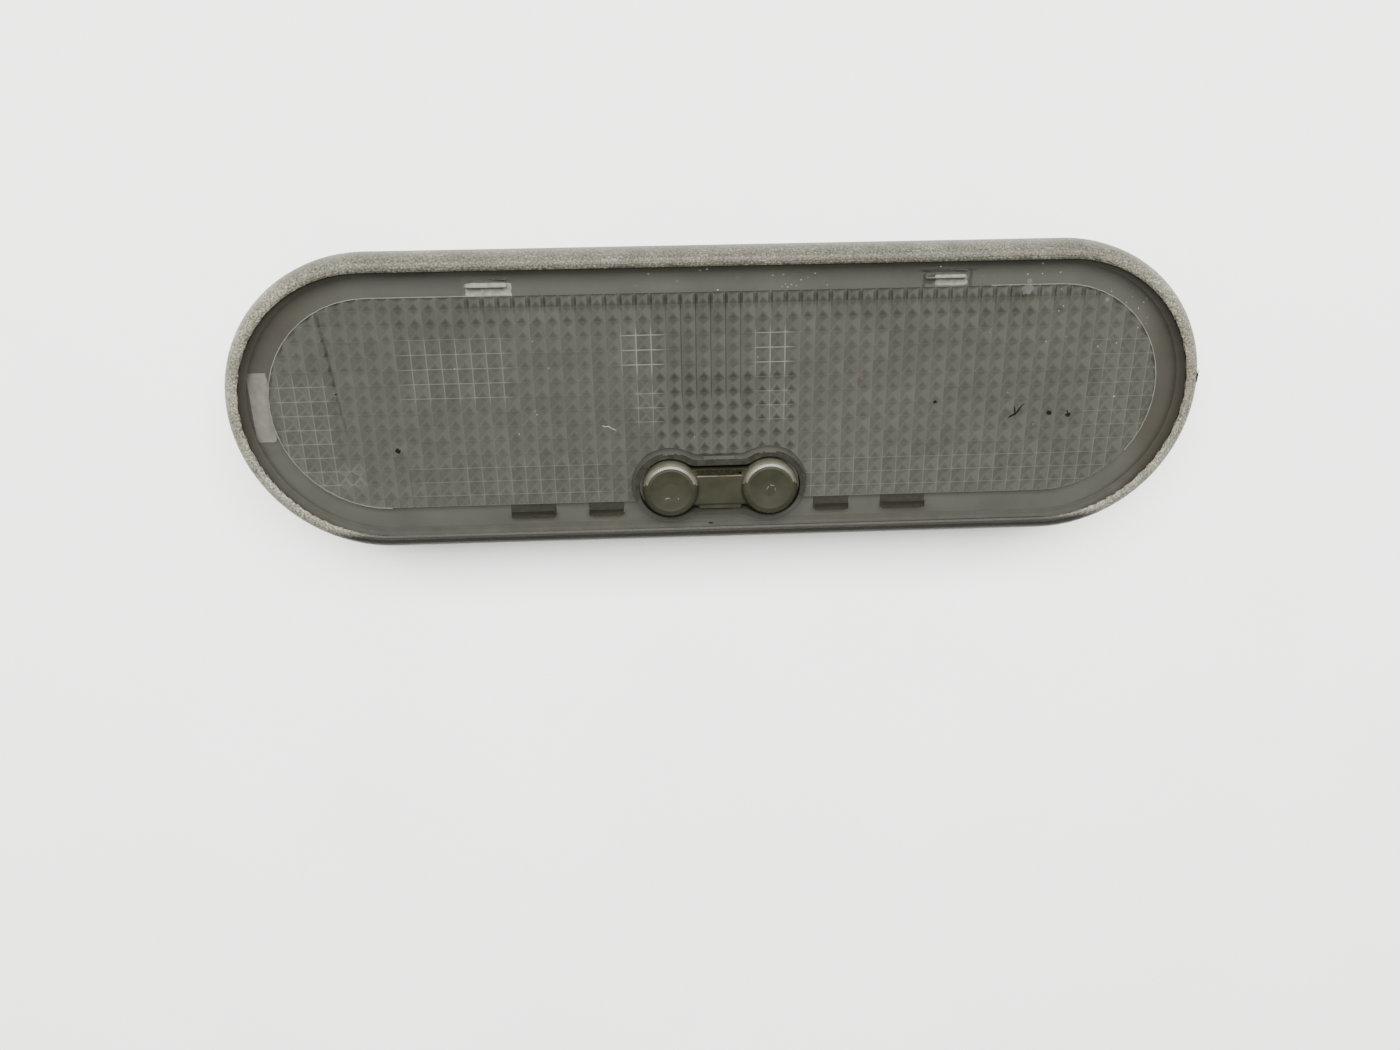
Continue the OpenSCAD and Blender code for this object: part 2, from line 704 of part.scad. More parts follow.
// Leaf spring that grips the roof panel at the left-hand end
module retaining_spring() {
  t = spring_t;
  x = spring_x;
  g = spring_gap;
  r = g / 2;
  color("#9b9c9a")
    difference() {
      translate([0, spring_w / 2, 0])
        rotate([90, 0, 0]) {
          linear_extrude(spring_w)
            translate([x - t, -8]) square([t, 7.5]);
          linear_extrude(spring_w)
            translate([x - t - g - t, -8]) square([t, 3.6]);
          linear_extrude(spring_w)
            translate([x - t - r, -8])
              difference() {
                circle(r + t);
                circle(r);
                translate([-r - t - 1, 0.1]) square([2 * (r + t + 1), r + t + 1]);
              }
          linear_extrude(spring_w)
            polygon([[x - g - 2 * t, -4.8], [x - g - 2 * t, -4.4], [x - g - 2 * t - spring_nose, -2.7], [x - g - 2 * t, -0.9],
              [x - g - t - 0.2, -1.2], [x - g - 2 * t - 0.9, -2.7], [x - g - t, -4.2], [x - g - t, -4.8]]);
          }
      translate([x - 2, 0, rivet_z]) rotate([0, 90, 0]) cylinder(h = 3, r = 1);
    }
}

module spring_rivet() {
  translate([spring_x, 0, rivet_z]) rotate([0, 90, 0]) rivet(-spring_t, wall + 0.1, 1);
}

lens();
housing();
reflector();
rocker();
contact_wiper();
supply_strip();
ground_strip();
door_strip();
common_strip();
bulb_clip_left();
bulb_clip_right();
clip_rivet_left();
clip_rivet_right();
contact_rivet_left();
contact_rivet_right();
strip_rivets();
bulb_glass();
bulb_cap_left();
bulb_cap_right();
bulb_filament();
bulb_leads();
retaining_spring();
spring_rivet();
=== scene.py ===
"""Car dome light on a pale table: prismatic lens, tray housing, rocker switch and festoon bulb."""

import math
import random

import bmesh
import bpy
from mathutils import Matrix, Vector


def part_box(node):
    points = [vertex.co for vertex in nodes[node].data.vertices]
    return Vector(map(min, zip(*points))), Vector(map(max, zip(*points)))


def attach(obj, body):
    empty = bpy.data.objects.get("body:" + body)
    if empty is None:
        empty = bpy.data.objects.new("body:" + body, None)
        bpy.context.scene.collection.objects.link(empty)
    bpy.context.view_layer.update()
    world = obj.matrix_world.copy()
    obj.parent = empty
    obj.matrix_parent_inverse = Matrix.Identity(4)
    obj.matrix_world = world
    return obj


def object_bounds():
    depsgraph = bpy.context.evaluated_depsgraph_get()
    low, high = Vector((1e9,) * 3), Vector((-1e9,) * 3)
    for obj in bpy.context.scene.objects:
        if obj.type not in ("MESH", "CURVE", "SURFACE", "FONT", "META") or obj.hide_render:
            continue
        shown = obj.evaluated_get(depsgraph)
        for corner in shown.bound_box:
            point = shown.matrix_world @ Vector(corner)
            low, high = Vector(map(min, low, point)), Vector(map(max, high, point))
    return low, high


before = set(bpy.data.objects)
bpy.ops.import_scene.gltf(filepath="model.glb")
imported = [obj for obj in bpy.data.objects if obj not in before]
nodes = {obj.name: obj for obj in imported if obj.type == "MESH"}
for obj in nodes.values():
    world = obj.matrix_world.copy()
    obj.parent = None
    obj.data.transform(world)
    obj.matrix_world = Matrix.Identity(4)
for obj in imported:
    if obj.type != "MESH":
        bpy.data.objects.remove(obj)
cad_low, cad_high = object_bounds()

# Camera
# The lamp was photographed from close by, held over the long side away from the rocker,
# so the far edge shows its outer wall and both ends lean outwards.
MM = 0.001

view = bpy.data.cameras.new("photo_camera")
view.sensor_width = 36.0
view.lens = 26.9
view.clip_start = 0.01
view.clip_end = 20.0
camera = bpy.data.objects.new("photo_camera", view)
bpy.context.scene.collection.objects.link(camera)
camera.location = Vector((-11.1, 52.3, 193.8)) * MM
camera.rotation_mode = "ZXY"
camera.rotation_euler = (math.radians(-22.15), math.radians(-2.17), math.radians(-0.85))
bpy.context.scene.camera = camera


# Share of a cloud pattern at which its darker tone ends and its lighter tone begins
CLOUD_LOW = 0.3
CLOUD_HIGH = 0.7


def linear(hex_colour):
    """Linear RGBA of an sRGB colour written as six hex digits."""
    parts = [int(hex_colour[i:i + 2], 16) / 255 for i in (0, 2, 4)]
    return tuple(c / 12.92 if c <= 0.04045 else ((c + 0.055) / 1.055) ** 2.4 for c in parts) + (1.0,)


def live(sockets, name=None):
    """First socket in use, of any name or of the given one."""
    return next(i for i in sockets if i.enabled and name in (None, i.name))


def add_node(tree, kind, sockets=None, stops=(), **settings):
    """Adds a node with its settings and a ramp's stops; a socket takes a value, or a link from a node."""
    made = tree.nodes.new(kind)
    for name, value in settings.items():
        setattr(made, name, value)
    for i, (position, colour) in enumerate(stops):
        marks = made.color_ramp.elements
        mark = marks[i] if i < len(marks) else marks.new(1.0)
        mark.position = position
        mark.color = linear(colour)
    for key, value in (sockets or {}).items():
        socket = made.inputs[key] if isinstance(key, int) else live(made.inputs, key)
        if isinstance(value, bpy.types.Node):
            value = live(value.outputs)
        if isinstance(value, bpy.types.NodeSocket):
            tree.links.new(value, socket)
        else:
            socket.default_value = value
    return made


def start_material(name, **sockets):
    """A material with its shader's constants set, and the object's own coordinates."""
    material = bpy.data.materials.new(name)
    material.use_nodes = True
    tree = material.node_tree
    shader = tree.nodes["Principled BSDF"]
    for key, value in sockets.items():
        shader.inputs[key.replace("_", " ")].default_value = value
    return material, tree, shader, add_node(tree, "ShaderNodeTexCoord").outputs["Object"]


def weathered(name, dark, light, patch_mm, grain_mm, bump_mm, gloss, **sockets):
    """Two clouded tones, a fine grain, and a gloss that varies between two roughnesses."""
    material, tree, shader, place = start_material(name, **sockets)
    cloud = add_node(tree, "ShaderNodeTexNoise",
                     {"Vector": place, "Scale": 1 / (patch_mm * MM), "Detail": 4.0})
    tone = add_node(tree, "ShaderNodeValToRGB", {"Fac": cloud}, [(CLOUD_LOW, dark), (CLOUD_HIGH, light)])
    tree.links.new(tone.outputs["Color"], shader.inputs["Base Color"])
    polish = add_node(tree, "ShaderNodeMapRange",
                      {"Value": cloud, "From Min": CLOUD_LOW, "From Max": CLOUD_HIGH,
                       "To Min": gloss[0], "To Max": gloss[1]})
    tree.links.new(polish.outputs["Result"], shader.inputs["Roughness"])
    grain = add_node(tree, "ShaderNodeTexNoise",
                     {"Vector": place, "Scale": 1 / (grain_mm * MM), "Detail": 2.0})
    bump = add_node(tree, "ShaderNodeBump", {"Height": grain, "Strength": 0.5, "Distance": bump_mm * MM})
    tree.links.new(bump.outputs["Normal"], shader.inputs["Normal"])
    return material


def dress(names, material):
    """Puts one finish on several CAD nodes."""
    for name in names:
        nodes[name].data.materials.clear()
        nodes[name].data.materials.append(material)


# Where painted shade darkens the rounded ends to brown: a direction, and how far along it the
# brown starts and is full. The left-hand end is darkened on its far side only.
PAINTED_SHADE_ENDS = [((1.0, 0.0, 0.0), 79.0 * MM, 84.0 * MM), ((-0.85, 0.5, 0.0), 67.0 * MM, 74.0 * MM)]
PAINTED_SHADE_MOST = 0.7


def painted_shade_at_ends(material):
    """Lays a brown painted shade over a finish at both rounded ends of the tray."""
    tree = material.node_tree
    shader = tree.nodes["Principled BSDF"]
    tone = shader.inputs["Base Color"].links[0].from_socket
    place = next(n for n in tree.nodes if n.bl_idname == "ShaderNodeTexCoord").outputs["Object"]
    for direction, start, full in PAINTED_SHADE_ENDS:
        reach = add_node(tree, "ShaderNodeVectorMath", {0: place, 1: direction}, operation="DOT_PRODUCT")
        share = add_node(tree, "ShaderNodeMapRange", {"Value": reach, "From Min": start, "From Max": full,
                                                      "To Max": PAINTED_SHADE_MOST})
        tone = add_node(tree, "ShaderNodeMix", {"Factor": share, "A": tone, "B": linear("332C23")},
                        data_type="RGBA")
    tree.links.new(live(tone.outputs), shader.inputs["Base Color"])
    return material


# Grey polypropylene, injection moulded: satin, with an eroded grain of 0.3 mm
tray_grey = weathered("grey_moulded_polypropylene", "42413A", "4C4B43", 9.0, 0.3, 0.03, (0.55, 0.68),
                      Specular_IOR_Level=0.35)
# The housing darkens to brown at both ends: painted shade.
dress(["housing"], painted_shade_at_ends(tray_grey))

# Reflector
# A trough of bright rolled aluminium sheet that clips over the well behind the bulb.
# It is rolled to a bright finish and left uncoated.

# Bright rolled aluminium: almost a mirror, a little hazed in patches by heat and dust
dress(["reflector"],
      weathered("bright_rolled_aluminium", "B9BAB6", "DADBD8", 4.0, 0.15, 0.01, (0.16, 0.3), Metallic=1.0))

# Contact strips, wiper and rivets
# The strips and the wiper are stamped from half-hard brass and riveted to the tray.
# The rivets are headed cold from softer brass wire.

# Stamped brass: yellow sheen between soft tarnished patches
dress(["contact_wiper", "supply_strip", "ground_strip", "door_strip", "common_strip"],
      weathered("stamped_brass", "93743A", "C0A057", 2.6, 0.2, 0.015, (0.26, 0.42), Metallic=1.0))

# Cold-headed brass: browner and duller than the sheet, with small tarnished patches
dress(["clip_rivet_left", "clip_rivet_right", "contact_rivet_left", "contact_rivet_right", "strip_rivets",
       "spring_rivet"],
      weathered("tarnished_brass_rivet", "7E6A3E", "AD9459", 0.9, 0.2, 0.03, (0.34, 0.5), Metallic=1.0))

# Bulb clips and retaining spring
# Both are bent from tempered spring steel strip and riveted to the tray.
# The clips are nickel plated for contact, and the spring is phosphated against rust.

# Nickel plated steel: bright and slightly warm, with a fine brushed haze
dress(["bulb_clip_left", "bulb_clip_right"],
      weathered("nickel_plated_steel", "A5A59F", "CBCBC5", 1.6, 0.12, 0.008, (0.2, 0.34), Metallic=1.0))

# Phosphated spring steel: matt and crystalline, greyer than the clips
dress(["retaining_spring"],
      weathered("phosphated_spring_steel", "8E8D86", "B4B3AB", 2.2, 0.25, 0.03, (0.42, 0.58), Metallic=0.7))

# Festoon bulb
# A glass tube with a pressed brass cap cemented on each end and a coiled tungsten wire.
# It sits between the two clips, which grip it by the caps.

# Drawn clear glass: smooth, with sharp reflections
dress(["bulb_glass"],
      weathered("clear_bulb_glass", "F4F6F5", "FFFFFF", 5.0, 2.0, 0.002, (0.02, 0.05), IOR=1.5,
                Transmission_Weight=1.0))

# Tinned brass: silvery, and dulled where the clips rub it
dress(["bulb_cap_left", "bulb_cap_right"],
      weathered("tinned_brass_cap", "A9A69A", "D2D0C6", 1.2, 0.15, 0.012, (0.22, 0.4), Metallic=1.0))

# Drawn tungsten: dark grey with a dull shine
dress(["bulb_filament", "bulb_leads"],
      weathered("tungsten_wire", "55524E", "7A7671", 0.5, 0.08, 0.01, (0.3, 0.45), Metallic=1.0))

# Lens
# One moulding in smoke-tinted polycarbonate: a plate with pyramids on its back, a rolled
# rim with a sparkling eroded grain, a skirt and six snap legs that hold it to the tray.
LENS_LOW, LENS_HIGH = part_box("lens")
RIM_WIDTH = 3.2 * MM
RIM_UP = 0.6 * MM
PLATE = 2.0 * MM
PITCH = 2.75 * MM
FIELD_RADIUS = 7.5 * PITCH - 0.6 * MM
LENS_RADIUS = (LENS_HIGH.y - LENS_LOW.y) / 2
STRAIGHT = (LENS_HIGH.x - LENS_LOW.x) / 2 - LENS_RADIUS
FACE_RADIUS = LENS_RADIUS - RIM_WIDTH
FACE_Z = LENS_HIGH.z - RIM_UP
BACK_Z = FACE_Z - PLATE
ROCKER_Y = -16.8 * MM


def stadium_reach(x, y):
    """Distance of a point from the middle line of the stadium-shaped lens."""
    return math.hypot(max(abs(x) - STRAIGHT, 0.0), y)


def face_haze():
    """Front face: clear polycarbonate hazed by fine scratches, which veil what lies below."""
    material, tree, shader, place = start_material("hazed_clear_polycarbonate", IOR=1.49, Alpha=0.3)
    streaks = add_node(tree, "ShaderNodeMapping", {"Vector": place, "Scale": (60.0, 500.0, 1.0),
                                                   "Rotation": (0.0, 0.0, 0.5)})
    wiped = add_node(tree, "ShaderNodeTexNoise", {"Vector": streaks, "Scale": 1.0, "Detail": 3.0})
    cloud = add_node(tree, "ShaderNodeTexNoise", {"Vector": place, "Scale": 1 / (11.111 * MM), "Detail": 4.0})
    both = add_node(tree, "ShaderNodeMath", {0: wiped, 1: cloud}, operation="ADD")
    mean = add_node(tree, "ShaderNodeMath", {0: both, 1: 0.5}, operation="MULTIPLY")
    tone = add_node(tree, "ShaderNodeValToRGB", {"Fac": mean}, [(0.36, "2A2A24"), (0.64, "33332C")])
    tree.links.new(tone.outputs["Color"], shader.inputs["Base Color"])
    polish = add_node(tree, "ShaderNodeMapRange", {"Value": wiped, "To Min": 0.08, "To Max": 0.18})
    tree.links.new(polish.outputs["Result"], shader.inputs["Roughness"])
    return material


# Each of a pyramid's four facets gets its own tone of painted shade, as seen through the plate.
# VALLEY is the width of a groove's foot as a share of the pitch, drawn coarser than it is so that it shows.
FACET_NEAR = 0.064
FACET_FAR = 0.15
FACET_LEFT = 0.08
FACET_RIGHT = 0.1
VALLEY = 0.07
VALLEY_GLINT = 0.012
# Width of the change from facet to facet, and how far in from its edge painted shade darkens a facet
RIDGE_BLUR = 0.02
SHADE_DEPTH = 0.3
# How strongly painted shade darkens the near and far facets towards their outer edge
NEAR_SHADE = 1.0
FAR_SHADE = 0.5
SHADE_ALL = 0.44
# Soft-edged rectangles in millimetres where metal and walls behind the lens are shown by painted shade,
# painted light on facets, and painted glints and shadows in valleys: middle x, y, half width, height, gain
PATCH_FADE = 1.2
SHADE_PATCHES = [(1.5, -4.0, 13.0, 10.0, 0.45), (0.0, 17.0, 60.0, 4.0, 0.25)]
FACET_PATCHES = [(-13.0, -0.4, 3.0, 3.4, 0.35), (10.5, -0.6, 3.2, 3.2, 0.35), (-77.5, -5.0, 4.6, 11.0, 0.22),
                 (-1.4, 6.0, 10.0, 11.0, -0.13), (79.0, 0.8, 7.0, 11.0, 0.1), (-70.0, -13.8, 2.4, 2.4, 0.6)]
GLINT_PATCHES = [(-14.0, 9.4, 3.6, 4.2, 0.16), (10.2, 8.8, 3.4, 4.2, 0.15), (-13.2, -1.0, 2.8, 3.6, 0.07),
                 (10.4, -1.0, 3.2, 3.4, 0.07), (-48.5, 6.5, 10.0, 5.8, 0.07), (-77.0, -5.0, 5.0, 11.0, 0.06),
                 (78.0, 0.0, 8.0, 11.0, 0.03), (-40.0, -15.4, 18.0, 4.4, 0.035),
                 (46.0, -15.0, 30.0, 4.4, 0.035)]
SHADOW_PATCHES = [(-1.4, 10.0, 8.2, 10.0, 0.06), (-54.4, -15.4, 5.0, 4.4, 0.045)]
# Painted dark keyholes where the columns end at the far edge, and a painted dark line for the tray's edge
# seen behind
KEYHOLE_START = 0.34
KEYHOLE_DARK = 0.06
KEYHOLE_BAND = (16.0, 18.7, 62.0, 1.2)
TRAY_EDGE_BAND = (-71.0, 7.2, 6.0, 12.0)
TRAY_EDGE_X = -70.5 * MM
TRAY_EDGE_LEAN = 0.11
TRAY_EDGE_HALF = 0.3 * MM
TRAY_EDGE_DARK = 0.03


def soft_patch(tree, x, y, middle_x, middle_y, half_x, half_y):
    """Mask of a rectangle in millimetres that fades across its edges."""
    sides = []
    for value, middle, half in ((x, middle_x, half_x), (y, middle_y, half_y)):
        off = add_node(tree, "ShaderNodeMath", {0: value, 1: middle * MM}, operation="SUBTRACT")
        away = add_node(tree, "ShaderNodeMath", {0: off}, operation="ABSOLUTE")
        sides.append(add_node(tree, "ShaderNodeMapRange",
                              {"Value": away, "From Min": (half - PATCH_FADE) * MM,
                               "From Max": (half + PATCH_FADE) * MM, "To Min": 1.0, "To Max": 0.0},
                              interpolation_type="SMOOTHSTEP"))
    return add_node(tree, "ShaderNodeMath", {0: sides[0], 1: sides[1]}, operation="MULTIPLY")


def gather_patches(tree, x, y, patches, total):
    """Adds the gain of each patch to a total where the patch lies."""
    for *spread, gain in patches:
        total = add_node(tree, "ShaderNodeMath", {0: soft_patch(tree, x, y, *spread), 1: gain, 2: total},
                         operation="MULTIPLY_ADD")
    return total


def moulded_prisms():
    """Pyramids seen from inside: each facet has a painted tone of light and shade, with little gloss."""
    material, tree, shader, place = start_material("moulded_polycarbonate_prisms", IOR=1.49, Roughness=0.5,
                                                   Specular_IOR_Level=0.06, Alpha=0.88)
    x, y, _ = add_node(tree, "ShaderNodeSeparateXYZ", {"Vector": place}).outputs

    # which pyramid a point lies in, and where in it
    pitches = add_node(tree, "ShaderNodeVectorMath", {0: place, 1: (PITCH, PITCH, PITCH)}, operation="DIVIDE")
    shifted = add_node(tree, "ShaderNodeVectorMath", {0: pitches, 1: (0.5, 0.5, 0.5)}, operation="ADD")
    pyramid = add_node(tree, "ShaderNodeVectorMath", {0: shifted}, operation="FLOOR")
    off = add_node(tree, "ShaderNodeVectorMath", {0: pitches, 1: pyramid}, operation="SUBTRACT")
    across, along, _ = add_node(tree, "ShaderNodeSeparateXYZ", {"Vector": off}).outputs
    away = add_node(tree, "ShaderNodeVectorMath", {0: off}, operation="ABSOLUTE")
    from_side, from_row, _ = add_node(tree, "ShaderNodeSeparateXYZ", {"Vector": away}).outputs
    inside = add_node(tree, "ShaderNodeMath", {0: from_row, 1: from_side}, operation="SUBTRACT")
    is_row = add_node(tree, "ShaderNodeMapRange",
                      {"Value": inside, "From Min": -RIDGE_BLUR, "From Max": RIDGE_BLUR})
    deep = add_node(tree, "ShaderNodeMapRange", {"Value": inside, "From Min": 0.0, "From Max": SHADE_DEPTH})

    # no two pyramids were polished alike
    lot = add_node(tree, "ShaderNodeTexWhiteNoise", {"Vector": pyramid}, noise_dimensions="2D")
    cloud = add_node(tree, "ShaderNodeTexNoise", {"Vector": place, "Scale": 1 / (18.182 * MM), "Detail": 2.0})

    # each step is a result, an operation, and numbers, nodes or the names of earlier results
    steps = [
        ("is right", "GREATER_THAN", across, 0.0),
        ("side tone", "MULTIPLY_ADD", "is right", FACET_RIGHT - FACET_LEFT, FACET_LEFT),
        ("is far", "GREATER_THAN", along, 0.0),
        ("row tone", "MULTIPLY_ADD", "is far", FACET_FAR - FACET_NEAR, FACET_NEAR),
        ("difference", "SUBTRACT", "row tone", "side tone"),
        ("tone", "MULTIPLY_ADD", is_row, "difference", "side tone"),
        ("polish", "MULTIPLY_ADD", lot, 0.22, 0.84),
        ("tone", "MULTIPLY", "tone", "polish"),
        ("clouding", "MULTIPLY_ADD", cloud, 0.3, 0.85),
        ("tone", "MULTIPLY", "tone", "clouding"),
        # painted shade darkens the near and far facets towards their own outer edge
        ("is near", "LESS_THAN", along, 0.0),
        ("depth", "MULTIPLY_ADD", "is near", NEAR_SHADE - FAR_SHADE, FAR_SHADE),
        ("depth", "MULTIPLY", deep, "depth"),
        ("depth", "MULTIPLY", "depth", gather_patches(tree, x, y, SHADE_PATCHES, SHADE_ALL)),
        ("remainder", "SUBTRACT", 1.0, "depth"),
        ("tone", "MULTIPLY", "tone", "remainder")]
    # painted light lifts the facets in most patches, and painted shade lowers them in one
    for *spread, gain in FACET_PATCHES:
        steps += [("lit", "MULTIPLY", soft_patch(tree, x, y, *spread), is_row),
                  ("lift", "MULTIPLY_ADD", "lit", gain, 1.0),
                  ("tone", "MULTIPLY", "tone", "lift")]
    steps += [
        # painted glints in the valleys, and painted shadow in the ones between columns over the bulb's well
        ("column valley", "GREATER_THAN", from_side, 0.5 - VALLEY / 2),
        ("row valley", "GREATER_THAN", from_row, 0.5 - VALLEY / 2),
        ("valley", "MAXIMUM", "column valley", "row valley"),
        ("tone", "MULTIPLY_ADD", "valley", gather_patches(tree, x, y, GLINT_PATCHES, VALLEY_GLINT), "tone"),
        ("shadow", "MULTIPLY", "column valley", gather_patches(tree, x, y, SHADOW_PATCHES, 0.0)),
        ("tone", "SUBTRACT", "tone", "shadow"),
        # painted dark keyholes at the far edge, and a painted dark line for the tray's edge seen behind
        ("keyhole", "GREATER_THAN", from_side, KEYHOLE_START),
        ("keyhole", "MULTIPLY", "keyhole", soft_patch(tree, x, y, *KEYHOLE_BAND)),
        ("tone", "MULTIPLY_ADD", "keyhole", -KEYHOLE_DARK, "tone"),
        ("edge", "MULTIPLY_ADD", y, TRAY_EDGE_LEAN, x),
        ("edge", "SUBTRACT", "edge", TRAY_EDGE_X),
        ("edge", "ABSOLUTE", "edge"),
        ("edge", "LESS_THAN", "edge", TRAY_EDGE_HALF),
        ("edge", "MULTIPLY", "edge", soft_patch(tree, x, y, *TRAY_EDGE_BAND)),
        ("tone", "MULTIPLY_ADD", "edge", -TRAY_EDGE_DARK, "tone")]
    found = {}
    for result, operation, *terms in steps:
        sockets = {i: found[term] if isinstance(term, str) else term for i, term in enumerate(terms)}
        found[result] = add_node(tree, "ShaderNodeMath", sockets, operation=operation)
    shade = add_node(tree, "ShaderNodeValToRGB", {"Fac": found["tone"]}, [(0.0, "0E0E0B"), (1.0, "EDECDA")])
    tree.links.new(shade.outputs["Color"], shader.inputs["Base Color"])
    return material


# Where painted shade darkens the rim: the y at which it starts and is full, and how much at most
RIM_PAINTED_SHADE = [(-23.0 * MM, -25.0 * MM, 0.96), (22.0 * MM, 25.6 * MM, 0.5)]


def rim_grain():
    """Rolled rim: eroded grain of about 0.35 mm whose palest spots are painted sparkle, darkened by painted
    shade towards the near side and a little at the far edge.
    """
    material, tree, shader, place = start_material("spark_eroded_polycarbonate", IOR=1.49, Roughness=0.5,
                                                   Specular_IOR_Level=0.2)
    pits = add_node(tree, "ShaderNodeTexNoise", {"Vector": place, "Scale": 1 / (0.35 * MM), "Detail": 2.0})
    cloud = add_node(tree, "ShaderNodeTexNoise", {"Vector": place, "Scale": 1 / (6.25 * MM), "Detail": 3.0})
    mixed = add_node(tree, "ShaderNodeMath", {0: cloud, 1: 0.3, 2: pits}, operation="MULTIPLY_ADD")
    tone = add_node(tree, "ShaderNodeValToRGB", {"Fac": mixed},
                    [(0.5, "3E3C33"), (0.78, "6E6B5E"), (0.86, "8F8C7E")])
    across = add_node(tree, "ShaderNodeSeparateXYZ", {"Vector": place}).outputs["Y"]
    for start, full, most in RIM_PAINTED_SHADE:
        shade_share = add_node(tree, "ShaderNodeMapRange", {"Value": across, "From Min": start, "From Max": full,
                                                     "To Max": most})
        tone = add_node(tree, "ShaderNodeMix", {"Factor": shade_share, "A": tone, "B": linear("16150F")},
                        data_type="RGBA")
    tree.links.new(live(tone.outputs), shader.inputs["Base Color"])
    bump = add_node(tree, "ShaderNodeBump", {"Height": pits, "Strength": 0.7, "Distance": 0.09 * MM})
    tree.links.new(bump.outputs["Normal"], shader.inputs["Normal"])
    return material


# Slots of the lens's finishes, in the order in which dress_lens adds them
HAZE, PRISMS, TINT, RIM, STEP, PAINTED_LIGHT_LEG, SOILED_SHADED_LEG, CUT_EDGE, BEAD = range(9)
UPRIGHT = 0.3
CUT_HALF = 16.2 * MM
CUT_NEAR_Y = -24.0 * MM
CUT_FAR_Y = -10.0 * MM
BEAD_NEAR_Y = ROCKER_Y - 2.0 * MM
SKIRT_Z = 1.6 * MM
# Slack when a face's place is compared with a size
HAIR = 0.05 * MM


def lens_slot(centre, normal):
    """Slot of a face of the lens, by where it lies and which way it faces."""
    reach = stadium_reach(centre.x, centre.y)
    upright = abs(normal.z) < UPRIGHT
    by_rocker = abs(centre.x) < CUT_HALF and CUT_NEAR_Y < centre.y < CUT_FAR_Y
    if reach > FACE_RADIUS + HAIR:
        return RIM
    if by_rocker and upright:
        return CUT_EDGE
    if by_rocker and centre.z > FACE_Z + HAIR:
        return BEAD if centre.y > BEAD_NEAR_Y else HAZE
    if centre.z > FACE_Z - 2 * HAIR:
        return HAZE
    if centre.z > BACK_Z - 0.4 * HAIR:
        return TINT
    if reach < FIELD_RADIUS - 0.4 * HAIR:
        return STEP if upright and not by_rocker else PRISMS
    if reach < FIELD_RADIUS + HAIR:
        return STEP
    # near legs carry dirt and painted shade, far legs painted light
    if centre.y <= 0:
        return SOILED_SHADED_LEG
    return TINT if centre.z > SKIRT_Z else PAINTED_LIGHT_LEG


def dress_lens():
    """Gives each face of the lens its finish by where it lies."""
    lens = nodes["lens"]
    dress(["lens"], face_haze())
    finishes = [
        moulded_prisms(),
        # Smoke-tinted polycarbonate: almost clear, and greys what lies below
        weathered("smoke_tinted_polycarbonate", "3C3E3A", "464844", 7.0, 0.6, 0.01, (0.2, 0.34), IOR=1.49,
                  Alpha=0.12),
        rim_grain(),
        # Step round the prisms: a paler tone of painted light, where light leaves the plate
        weathered("pale_polycarbonate_step", "55554D", "66665D", 1.5, 0.3, 0.01, (0.2, 0.3), IOR=1.49),
        # Far snap legs: pale with painted light, and clear against the dust in their windows
        weathered("polycarbonate_leg_painted_light", "83827A", "99988F", 1.5, 0.3, 0.01, (0.2, 0.3), IOR=1.49),
        # Near snap legs: brown and matt, with packed dirt and painted shade
        weathered("soiled_and_shaded_polycarbonate_leg", "1B1710", "352E21", 1.0, 0.25, 0.02, (0.5, 0.7),
                  Specular_IOR_Level=0.05),
        # Walls of the cut-out: dark, because they face away from the light
        weathered("shaded_polycarbonate_edge", "24231D", "302E27", 1.5, 0.3, 0.01, (0.3, 0.5), IOR=1.49),
        # Bead round the rocker, on its far side only: dark and dull, painted shade
        weathered("shaded_polycarbonate_bead", "1C1B16", "272620", 1.2, 0.3, 0.01, (0.45, 0.6), IOR=1.49,
                  Specular_IOR_Level=0.05)]
    for finish in finishes:
        lens.data.materials.append(finish)
    for face in lens.data.polygons:
        face.material_index = lens_slot(face.center, face.normal)


dress_lens()

# Rocker
# Two round finger pads and a bar between them, moulded in olive-grey ABS in one piece.
# It is pressed into its bearings; its flanks facing the light get painted light, and its pads' upper edges a
# painted highlight.
TOP, FLANK, PAINTED_HIGHLIGHT = range(3)
PAD_FROM_X = 4.2 * MM
PAD_EDGE_Z = 6.75 * MM
BAR_TOP_Z = 5.0 * MM


def rocker_slot(centre, facing):
    """Slot of a face of the rocker: flanks facing the light get painted light, and the pads' upper edges a
    painted highlight.
    """
    if abs(centre.x) > PAD_FROM_X:
        if facing.y <= 0.15 or facing.z >= 0.97:
            return TOP
        return PAINTED_HIGHLIGHT if 0.45 < facing.z < 0.92 and centre.z > PAD_EDGE_Z else FLANK
    chamfer = 0.3 < facing.z < 0.95 and abs(facing.y) > 0.3
    return FLANK if centre.z > BAR_TOP_Z and chamfer else TOP


# Moulded ABS: dark olive and satin, with a fine grain
OLIVE_ABS = weathered("olive_moulded_abs", "1C1C12", "222216", 3.0, 0.25, 0.02, (0.46, 0.56), IOR=1.53,
                      Specular_IOR_Level=0.2)
# Painted light on the flanks that face the light: a paler, more matt ABS tone
PAINTED_LIGHT_ABS = weathered("olive_abs_painted_light", "37362B", "454436", 2.0, 0.25, 0.02, (0.45, 0.6), IOR=1.53)
# Painted highlight on the pads' upper edges and the bar's edge: the palest tone, with a soft shine
PAINTED_HIGHLIGHT_ABS = weathered("olive_abs_painted_highlight", "403E31", "514E3E", 1.0, 0.25, 0.01, (0.3, 0.4), IOR=1.53)
dress(["rocker"], OLIVE_ABS)
nodes["rocker"].data.materials.append(PAINTED_LIGHT_ABS)
nodes["rocker"].data.materials.append(PAINTED_HIGHLIGHT_ABS)
for face in nodes["rocker"].data.polygons:
    face.material_index = rocker_slot(face.center, face.normal)


